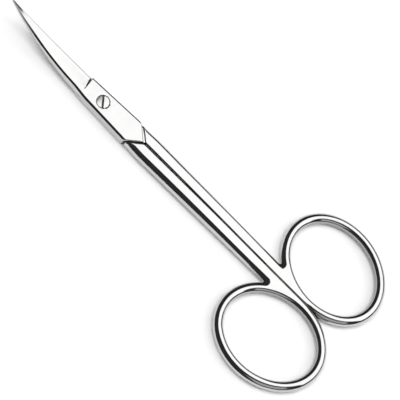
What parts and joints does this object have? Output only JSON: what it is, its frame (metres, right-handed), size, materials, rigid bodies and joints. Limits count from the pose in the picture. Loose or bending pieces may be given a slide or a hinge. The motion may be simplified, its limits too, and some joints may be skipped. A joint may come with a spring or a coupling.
{
  "type": "cuticle scissors",
  "caption": "Fine cuticle scissors with slender upward-curved blades, a screwed lap joint and oval finger rings, closed and lying flat.",
  "frame": {"origin": "on the pivot axis, in the plane of the lap joint's underside, which the part rests on", "axes": "+X from the blade tips to the finger rings, +Y to the finger ring of the half that carries the screw head, +Z along the pivot and out of the screw head; the blades bend towards +Z"},
  "size_m": [0.0946, 0.0404, 0.0074],
  "materials": {
    "lower_steel": "polished stainless steel, mirror bright",
    "upper_steel": "polished stainless steel, mirror bright",
    "screw_steel": "turned stainless steel, ground flush with the joint"
  },
  "bodies": {
    "fixed_half": {"lower_half": "lower_steel", "pivot_screw": "screw_steel"},
    "turning_half": {"upper_half": "upper_steel"}
  },
  "joints": [
    {"name": "pivot", "type": "hinge", "parent": "fixed_half", "child": "turning_half", "pos_m": [0, 0, 0.0014], "axis": [0, 0, 1], "range_deg": [0, 60]}
  ]
}
